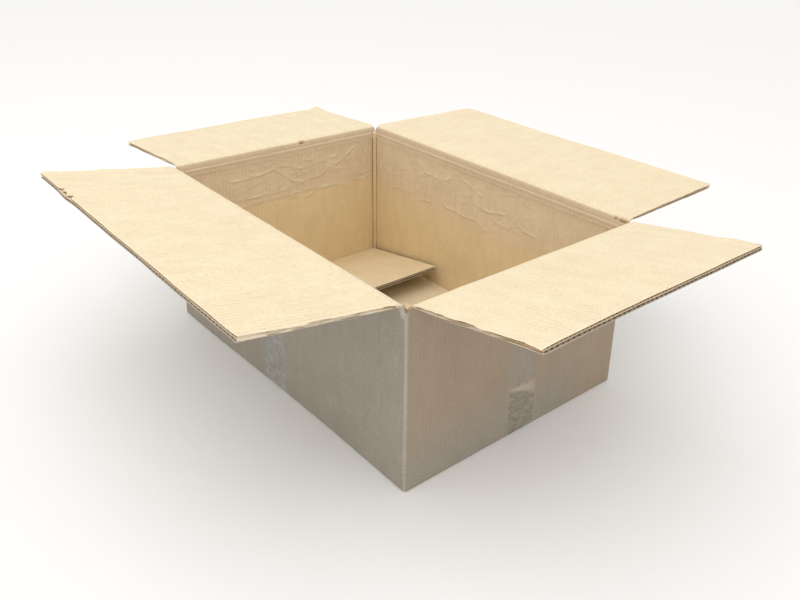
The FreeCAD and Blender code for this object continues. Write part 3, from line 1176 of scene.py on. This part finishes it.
def build_flutes(flap, layer, material, rows=14):
    """One layer of flutes of a flap as a closed wavy sheet."""
    low, high, pitch = flute_layers[layer]
    seed = flap["seed"] * 10 + len(layer)
    v = spread(flap["join"], flap["reach"] - 0.8, (flap["reach"] - flap["join"]) / rows)
    left = side_line(flap, v, 0, seed, 1.6)
    right = side_line(flap, v, 1, seed + 7, 1.4)
    across = np.arange(left.min(), right.max(), pitch / points_per_flute)
    u = np.clip(across[None, :], left[:, None], right[:, None])
    section = np.sin(2 * math.pi * across / pitch + 0.5 * ripple(across, 0 * across, 60, seed + 3))
    section = np.tanh(1.5 * section) / math.tanh(1.5)
    middle = (low + high) / 2
    swing = (high - low - flute_sheet) / 2
    height = middle + swing * section[None, :] + 0 * u
    trim = 0.5 + 0.6 * np.abs(ripple(across, 0 * across, 12, seed + 4))
    trim = trim + flap["short"] * np.clip((flap["root"][1] - across) / 390, 0, 1)
    if flap["notch"] is not None and layer == "fine_flutes":
        trim = trim + 0.8 * flap["notch"](across)
    stretch = (v - v[0]) / (v[-1] - v[0])
    out = v[0] + stretch[:, None] * (v[-1] - trim[None, :] - v[0])
    upper = on_flap(flap, u, out, board_height(flap, u, out, height + flute_sheet / 2))
    lower = on_flap(flap, u, out, board_height(flap, u, out, height - flute_sheet / 2))
    edge = np.minimum(out[-1:, :] - out, np.minimum(u - left[:, None], right[:, None] - u))
    values = {
        "place": np.stack([u, out, np.full(u.shape, flap["seed"] * 9.0)], axis=-1),
        "wear": 0.75 * (1 - smooth(edge, 0.2, 1.6)),
        "grime": np.full(u.shape, 0.3),
    }
    piece = slab(f"{flap['name']}_{layer}", upper, lower, [material], values, bend=70.0)
    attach(piece, flap["body"])
    return piece


# %% [markdown]
# With those two functions a flap is five pieces: three liners and two layers of flutes. The inner
# liner takes the place of the solid flap.

# %% Build the four top flaps
for flap in flaps:
    top = build_liner(flap, "inner_liner", inside_paper, spacing=5.0)
    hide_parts(flap["node"])
    print(top.name, "has", len(top.data.polygons), "faces")
    build_liner(flap, "middle_liner", flute_paper, spacing=9.0)
    build_liner(flap, "outer_liner", outside_paper, spacing=7.0)
    build_flutes(flap, "coarse_flutes", flute_paper)
    build_flutes(flap, "fine_flutes", flute_paper)

# %% [markdown]
# ## The creases
#
# At its crease a flap and its wall are one board. A strip with the section of a bent board joins
# them: its inner line comes up the inside of the wall, turns over the rim and runs out onto the
# flap, and its outer line runs back under the flap and down the outside.

# %% Build the crease strips
strip_drop = 14.0
skin = 0.12


def bezier(first, second, third, fourth, shares):
    """Points on a curve from the first to the fourth, pulled towards the middle two."""
    t = shares[:, None]
    return (
        (1 - t) ** 3 * first + 3 * (1 - t) ** 2 * t * second + 3 * (1 - t) * t**2 * third + t**3 * fourth
    )


def crease_section(flap, u):
    """The strip's section at one place along the crease, as (out, up) from the rim's outer face."""
    place = np.array([u])
    ends = []
    for w in (board, 0.0):
        pair = []
        for v in (join, join + 1.0):
            height = board_height(flap, place, np.array([v]), w)
            point = on_flap(flap, place, np.array([v]), height)[0] - flap["origin"]
            pair.append(np.array([point @ flap["out"], point[2]]))
        ends.append((pair[0], (pair[0] - pair[1]) / np.linalg.norm(pair[0] - pair[1])))
    (top, top_way), (bottom, bottom_way) = ends
    waver = 0.5 * float(ripple(np.array(u), np.array(0.0), 35, flap["seed"] + 5))
    from_corner = wall_half_run[flap["wall"]] - abs(u)
    turned = max(corner_radius - from_corner, 0.0)
    recess = corner_radius - math.sqrt(corner_radius**2 - turned**2)
    inside = -min(board + skin, max(from_corner, recess + 0.1))
    outside = skin - recess
    crushed = board - thinned(flap, place, np.array([join]))[0] * board
    inner = bezier(
        np.array([inside, -strip_drop]),
        np.array([inside - 0.3 - abs(waver), waver - 2.0]),
        top + top_way * 13.0 - np.array([0.0, 2.0]),
        top,
        np.linspace(0, 1, 15),
    )
    outer = bezier(
        bottom,
        bottom + bottom_way * 9.0,
        np.array([outside, crushed - 4.0]),
        np.array([outside, -strip_drop]),
        np.linspace(0, 1, 10),
    )
    return inner, outer


crease_holes = {
    "right_flap": [(-284.0, 7.0, 3.0), (-270.0, 4.0, 2.0)],
    "back_flap": [(37.0, 6.0, 3.5)],
}


def hole_depth(flap, u):
    """How deep the crease is torn open at a place along it."""
    total = 0.0
    for middle, half, deep in crease_holes.get(flap["name"], []):
        total = total + deep * float(smooth(np.array(half - abs(u - middle)), 0.0, 2.0))
    return total


def build_crease(flap):
    """The strip that joins a flap to its wall."""
    reach_in = wall_half_run[flap["wall"]] - 2.6
    along = spread(-reach_in, reach_in, 3.0)
    sections = [crease_section(flap, u) for u in along]
    inner_count = len(sections[0][0])
    ring = inner_count + len(sections[0][1])
    points = []
    place = []
    light_and_rubbing = []
    shade = []
    share_along = np.linspace(0, 1, inner_count)
    at_bend = np.exp(-(((share_along - 0.62) / 0.1) ** 2))
    # Painted shade on the strip's inner face, from the wall up to just before the flap.
    painted_shade_before_flap = smooth(share_along, 0.0, 0.2) * (1 - smooth(share_along, 0.6, 0.72))
    for u, (inner, outer) in zip(along, sections):
        torn = hole_depth(flap, u)
        inner = inner + np.outer(torn * at_bend, [0.5, -1.0])
        section = np.concatenate([inner, outer])
        world = flap["origin"] + u * flap["along"] + section[:, :1] * flap["out"]
        points.append(world + section[:, 1:] * np.array([0.0, 0.0, 1.0]))
        inner_run = np.linspace(-20, join, inner_count)
        outer_run = np.linspace(join, -20, ring - inner_count)
        run = np.concatenate([inner_run, outer_run])
        place.append(np.stack([np.full(ring, u), run, np.full(ring, flap["seed"] * 7.0)], axis=-1))
        near_end = smooth(np.array(u + wall_half_run[flap["wall"]]), 13.0, 10.0)
        pale = float(near_end) if flap["name"] == "left_flap" else 0.0
        # The strip's face on the flap side takes the flaps' paler colour: painted light.
        inner_painted_light = smooth(inner_run, -0.5, 3.5)
        light_and_rubbing.append(np.concatenate([inner_painted_light, np.full(ring - inner_count, pale)]))
        # Painted shade in the torn holes at the bend, and along the strip before the flap.
        inner_shade = np.maximum(min(torn / 2, 1.0) * at_bend, 0.42 * painted_shade_before_flap)
        shade.append(np.concatenate([inner_shade, np.zeros(ring - inner_count)]))
    points = np.array(points)
    count = len(along)
    index = np.arange(count * ring).reshape(count, ring)
    index = np.concatenate([index, index[:, :1]], axis=1)
    faces = [list(face) for face in quads(index)]
    outside = np.tile(np.arange(ring), count - 1)
    which = [1 if row >= inner_count else 0 for row in outside] + [2, 2]
    faces.append(list(range(ring)))
    faces.append(list(range((count - 1) * ring, count * ring))[::-1])
    place = np.array(place).reshape(-1, 3)
    light_and_rubbing = np.array(light_and_rubbing).ravel()
    wall_dust = {"left": 0.85, "front": 0.25, "back": 1.0, "right": 1.0}[flap["wall"]]
    grime = wall_dust * (1 - light_and_rubbing)
    piece = make_piece(
        f"{flap['name']}_crease",
        points.reshape(-1, 3),
        faces,
        [inside_paper, outside_paper, flute_paper],
        {"place": place, "light_and_rubbing": light_and_rubbing, "grime": grime, "shade": np.array(shade).ravel()},
        which=which,
        bend=50.0,
    )
    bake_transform(piece)
    return piece


for flap in flaps:
    strip = build_crease(flap)
    print(strip.name, "has", len(strip.data.polygons), "faces")

# %% [markdown]
# At the near corner the cuts between the flaps have torn a little further, and a tuft of pale
# paper shreds stands there. Each shred is a thin, bent strip.

# %% Build the torn tuft
shred_count = 26
shred_chance = np.random.default_rng(601)
tuft_points = []
tuft_faces = []
for _ in range(shred_count):
    base = np.array([-half_width + 4.5, -half_length + 4.5, rim - 1.0])
    base = base + shred_chance.uniform([-3.0, -3.0, -3.0], [4.0, 4.0, 5.0])
    heading = math.radians(shred_chance.uniform(180, 270))
    way = np.array([math.cos(heading), math.sin(heading), shred_chance.uniform(-0.5, 0.9)])
    side = np.array([-way[1], way[0], shred_chance.uniform(-0.6, 0.6)])
    length = shred_chance.uniform(2.0, 5.5)
    width = shred_chance.uniform(0.5, 1.3)
    first = len(tuft_points)
    for share, narrow, rise in ((0.0, 1.0, 0.0), (0.5, 0.8, 0.6), (1.0, 0.3, 0.3)):
        middle = base + way * length * share + np.array([0.0, 0.0, rise])
        for across, up in ((-1, 0.12), (1, 0.12), (1, -0.12), (-1, -0.12)):
            tuft_points.append(middle + side * across * width * narrow / 2 + np.array([0, 0, up]))
    for ring_start in (first, first + 4):
        for corner in range(4):
            after = (corner + 1) % 4
            tuft_faces.append(
                [ring_start + corner, ring_start + after, ring_start + 4 + after, ring_start + 4 + corner]
            )
    tuft_faces.append([first, first + 1, first + 2, first + 3])
    tuft_faces.append([first + 8, first + 9, first + 10, first + 11])
tuft_points = np.array(tuft_points)
tuft = make_piece("torn_tuft", tuft_points, tuft_faces, [inside_paper], {"place": tuft_points, "light_and_rubbing": 0.8})
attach(tuft, "carton")
print("tuft:", shred_count, "shreds")

# %% [markdown]
# ## The loose floor flaps
#
# The two end flaps of the floor lie loose inside. They are the same board, so the same functions
# build them, turned to point inwards. The back one has sprung up, more at its right side.

# %% Build the floor flaps
floor_lift = 7.3
floor_gap_at_wall = 0.5
floor_side_gap = 6.0
floor_reach = 194.0
floor_specs = [
    ("floor_flap_front", "floor_front", "floor_front_fold", (0, 1, 0), 0.0, 201),
    ("floor_flap_back", "floor_back", "floor_back_fold", (0, -1, 0), 0.25, 202),
]
for node, body, joint, out, twist, seed in floor_specs:
    out = np.array(out, float)
    span = inner_half_width - floor_side_gap
    flap = {
        "name": node, "body": body, "node": node, "reach": floor_reach, "seed": seed,
        "along": np.array([1.0, 0.0, 0.0]), "out": out,
        "origin": -out * inner_half_length + np.array([0, 0, floor_lift]),
        "fold_out": floor_gap_at_wall, "fold_up": board,
        "lean": -joints[joint]["range_deg"][0], "twist": twist, "tilt": twist,
        "root": (-span, span), "tip": (-span, span), "ragged": (0.4, 0.3),
        "warp": plain_warp(seed, 0.6, span), "notch": None, "join": floor_gap_at_wall,
        # The loose floor flaps take some of the paler colour: painted light on their upper faces.
        "crush": 0.2, "light_and_rubbing": 0.35, "short": 0.0,
    }
    top = build_liner(flap, "inner_liner", inside_paper, spacing=6.0)
    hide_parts(node)
    build_liner(flap, "middle_liner", flute_paper, spacing=9.0)
    build_liner(flap, "outer_liner", outside_paper, spacing=9.0)
    build_flutes(flap, "coarse_flutes", flute_paper)
    build_flutes(flap, "fine_flutes", flute_paper)
    print(f"{node}: leans {flap['lean']:.1f} degrees")

# %% [markdown]
# ## The glue lap
#
# The sheet is closed into a tube by a lap, glued inside the left wall at the front corner. Its
# edge stands a little proud of the wall, and its two ends are cut at a slant.

# %% Build the glue lap
lap_width = 35.0
lap_thickness = 4.0
lap_low = 16.0
lap_high = rim - 10.0
lap_taper = 12.0
share = np.linspace(0, 1, 22)
run = np.concatenate([[0.0], np.linspace(4, lap_width - 3, 6), [lap_width - 1.2, lap_width]])
grid_share, grid_run = np.meshgrid(share, run, indexing="ij")
low_edge = lap_low + lap_taper * grid_run / lap_width
high_edge = lap_high - lap_taper * grid_run / lap_width
lap_z = low_edge + (high_edge - low_edge) * grid_share
rounded = smooth(lap_width - grid_run, -0.5, 3.0) * smooth(grid_share, -0.02, 0.03)
rounded = rounded * smooth(1 - grid_share, -0.02, 0.03)
lap_x = -inner_half_width + 0.6 + (lap_thickness - 0.6) * rounded
lap_y = -inner_half_length + grid_run
upper = np.stack([lap_x, lap_y, lap_z], axis=-1)
lower = np.stack([np.full(lap_x.shape, -inner_half_width - 1.5), lap_y, lap_z], axis=-1)
lap_place = np.stack([grid_run, lap_z, np.full(lap_x.shape, 620.0)], axis=-1)
lap = slab("glue_lap", upper, lower, [inside_paper], {"place": lap_place, "wear": 0.5 * (1 - rounded)})
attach(lap, "carton")
print(f"glue lap: {lap_width:.0f} x {lap_high - lap_low:.0f} mm")

# %% [markdown]
# ## The tape
#
# Packing tape is a thin clear or brownish film, so the board shows through it, with fine streaks
# where the glue has let go. It follows the outside of the box, and its end was torn off on a
# serrated blade. The film is a narrow sheet laid just over the board.

# %% Make the tape finishes


def make_tape(name, film, streak, cover_low, cover_high):
    """A film that shows the board through it, with streaks along its length."""
    material = bpy.data.materials.new(name)
    material.use_nodes = True
    tree = material.node_tree
    shader = tree.nodes["Principled BSDF"]
    place = read_value(tree, "place").outputs["Vector"]
    wear = read_value(tree, "wear").outputs["Fac"]
    drawn = add(
        tree, "ShaderNodeVectorMath", {0: place, 1: (1.0, 0.07, 1.0)}, operation="MULTIPLY"
    ).outputs[0]
    lines = add(tree, "ShaderNodeTexNoise", {"Vector": drawn, "Scale": 420.0, "Detail": 3.0})
    blotch = add(tree, "ShaderNodeTexNoise", {"Vector": place, "Scale": 60.0, "Detail": 3.0})
    streaks = step_between(tree, lines.outputs["Fac"], 0.56, 0.72)
    colour = tint(tree, calculate(tree, "MULTIPLY", streaks, 0.6), film, streak)
    colour = tint(tree, calculate(tree, "MULTIPLY", wear, 0.8), colour, streak)
    tree.links.new(colour, shader.inputs["Base Color"])
    cover = step_between(tree, blotch.outputs["Fac"], 0.3, 0.7, cover_low, cover_high)
    cover = calculate(tree, "MAXIMUM", cover, calculate(tree, "MULTIPLY", wear, 0.9))
    tree.links.new(cover, shader.inputs["Alpha"])
    shader.inputs["Roughness"].default_value = 0.34
    height = calculate(tree, "MULTIPLY", streaks, 0.00004)
    bump = add(tree, "ShaderNodeBump", {"Height": height, "Distance": 1.0, "Strength": 0.8})
    tree.links.new(bump.outputs["Normal"], shader.inputs["Normal"])
    return material


brown_tape = make_tape("brown_tape", paint(166, 156, 141), paint(194, 184, 168), 0.4, 0.9)
clear_tape = make_tape("clear_tape", paint(190, 188, 181), paint(200, 198, 191), 0.2, 0.65)

# %% [markdown]
# The seam tape runs under the floor and up both end walls. Its width and its place come from the
# solid tape. `run_round` is the path down a wall and in under the floor, and `lay_tape` lays a film
# along it, which follows the shallow dents of the wall.

# %% Lay the tapes
film_gap = 0.16
film_thickness = 0.06
seam_low, seam_high = (np.array(corner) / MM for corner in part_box("seam_tape"))
side_low, side_high = (np.array(corner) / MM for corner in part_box("side_tape"))


def run_round(start_height, half_deep, reach):
    """A path down a wall, round its foot and in under the floor, as (out, up) pairs."""
    drop = np.linspace(start_height, underside + bottom_round, max(6, int(start_height / 4)))
    path = [(half_deep, height) for height in drop]
    for angle in (25, 50, 75):
        turn = math.radians(angle)
        out = half_deep - bottom_round * (1 - math.cos(turn))
        path.append((out, underside + bottom_round * (1 - math.sin(turn))))
    path += [(half_deep - bottom_round - step, underside) for step in np.linspace(0, reach, 12)]
    return np.array(path)


def lay_tape(name, node, wall, low, high, heights, reach, material, teeth):
    """A tape down one wall: low and high are its edges, heights its top at each of them."""
    out = np.array(wall_out[wall] + (0,), float)
    run = np.abs(np.array(wall_run[wall] + (0,), float))
    half_deep = wall_half_deep[wall]
    across = np.linspace(low, high, int((high - low) / 0.8))
    share = (across - low) / (high - low)
    if teeth:
        torn_end = 1.1 * np.abs(2 * ((across / 1.9) % 1.0) - 1)
    else:
        torn_end = 0.2 * ripple(across, 0 * across, 9, 91)
    tops = heights[0] + (heights[1] - heights[0]) * share + torn_end
    path = run_round(max(heights), half_deep, reach)
    grid = np.zeros((len(path), len(across), 3))
    for row, (away, up) in enumerate(path):
        height = np.where(up > 10.0, 10.0 + (up - 10.0) * (tops - 10.0) / (max(heights) - 10.0), up)
        sign = 1.0 if wall in ("front", "right") else -1.0
        relief = outside_relief(wall, sign * across, height)
        lift = np.where(up > underside + bottom_round, relief, 0.0) + film_gap
        side = np.clip((half_deep - away) / bottom_round, 0, 1)
        grid[row] = run * across[:, None] + out * (away + lift * (1 - side))[:, None]
        grid[row, :, 2] = height - 0.12 * side
    grid = settle(grid)
    lower = grid - out * film_thickness
    edge = np.minimum(across - low, high - across)
    wear = np.broadcast_to(1 - smooth(edge, 0.6, 1.8), grid.shape[:2]).copy()
    wear[0] = 1.0
    length = np.linspace(0, 1, len(path))[:, None] * (max(heights) + reach)
    grid_across, grid_length = np.broadcast_arrays(across[None, :], length)
    tape_place = np.stack([grid_across, grid_length, 0 * grid_length], axis=-1)
    piece = slab(name, grid, lower, [material], {"place": tape_place, "wear": 0.6 * wear})
    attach(piece, "carton")
    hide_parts(node)
    return piece


seam_edges = (seam_low[0], seam_high[0])
seam_rise_left = 75.0
seam_rise_right = 52.0
seam_tops = (seam_rise_left, seam_rise_right)
under_reach = half_length - bottom_round
lay_tape("seam_tape_front", "seam_tape", "front", *seam_edges, seam_tops, under_reach, brown_tape, True)
lay_tape("seam_tape_back", "seam_tape", "back", *seam_edges, seam_tops, under_reach, brown_tape, True)
print(f"seam tape: {seam_edges[1] - seam_edges[0]:.0f} mm wide")

# %% [markdown]
# The end of the seam tape was once level. A corner of it was pulled off at a slant and took the
# face of the liner with it, which left a rough, pale patch between the slant and the old end.

# %% Build the torn patch
patch_columns = 44
patch_rows = 22
share_across = np.linspace(0, 1, patch_columns)
share_up = np.linspace(0, 1, patch_rows)
patch_x = seam_edges[0] + (seam_edges[1] - seam_edges[0]) * share_across
patch_low = seam_rise_left + (seam_rise_right - seam_rise_left) * share_across - 1.0
patch_high = seam_rise_left + 1.2 * ripple(patch_x, 0 * patch_x, 7, 95) + 0.5
grid_x = np.broadcast_to(patch_x, (patch_rows, patch_columns))
grid_z = patch_low + (patch_high - patch_low) * share_up[:, None]
fuzz = 0.14 * ripple(grid_x, grid_z, 3.0, 96) + 0.1 * ripple(grid_x, grid_z, 6.0, 97)
edge = np.minimum(share_up[:, None] * (1 - share_up[:, None]) * 4, 1) * (1 - share_across**8)
patch_out = outside_relief("front", patch_x, grid_z) + 0.06 + 0.22 * edge * (1 + fuzz)
patch_upper = np.stack([grid_x, -half_length - patch_out, grid_z], axis=-1)
patch_lower = patch_upper + np.array([0.0, 0.5, 0.0])
patch_place = np.stack([grid_x, grid_z, np.full(grid_x.shape, 700.0)], axis=-1)
patch_values = {"place": patch_place, "wear": 0.3 + 0.2 * edge, "light_and_rubbing": 0.1 * edge}
patch = slab("torn_liner_patch", patch_upper, patch_lower, [outside_paper], patch_values)
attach(patch, "carton")
print(f"torn patch: {seam_rise_left - seam_rise_right:.0f} mm high at its right edge")

# %% [markdown]
# The strip on the left wall is a clearer film with a cut end. It runs down the wall and in under
# the floor.

# %% Lay the strip on the left wall
side_tops = (side_high[2], side_high[2])
side_reach = 57.0
side_edges = (side_low[1], side_high[1])
lay_tape("side_strip", "side_tape", "left", *side_edges, side_tops, side_reach, clear_tape, False)
print(f"side strip: {side_edges[1] - side_edges[0]:.0f} mm wide")

# %% [markdown]
# ## Finish
#
# The ground is a plain pale sheet just under the carton, and it keeps the carton's soft shadow.

# %% Lay the ground
ground_half = 6.0
ground_level = -0.0002
ground_signs = ((-1, -1), (1, -1), (1, 1), (-1, 1))
ground_mesh = bpy.data.meshes.new("ground")
ground_mesh.from_pydata(
    [(x * ground_half, y * ground_half, ground_level) for x, y in ground_signs], [], [(0, 1, 2, 3)]
)
ground_paint = bpy.data.materials.new("ground")
ground_paint.use_nodes = True
ground_shader = ground_paint.node_tree.nodes["Principled BSDF"]
ground_shader.inputs["Base Color"].default_value = (0.95, 0.95, 0.95, 1.0)
ground_shader.inputs["Roughness"].default_value = 0.9
ground_mesh.materials.append(ground_paint)
ground = bpy.data.objects.new("ground", ground_mesh)
bpy.context.scene.collection.objects.link(ground)
bpy.context.scene.view_settings.view_transform = "Standard"
print(f"ground: {2 * ground_half:.0f} m wide")
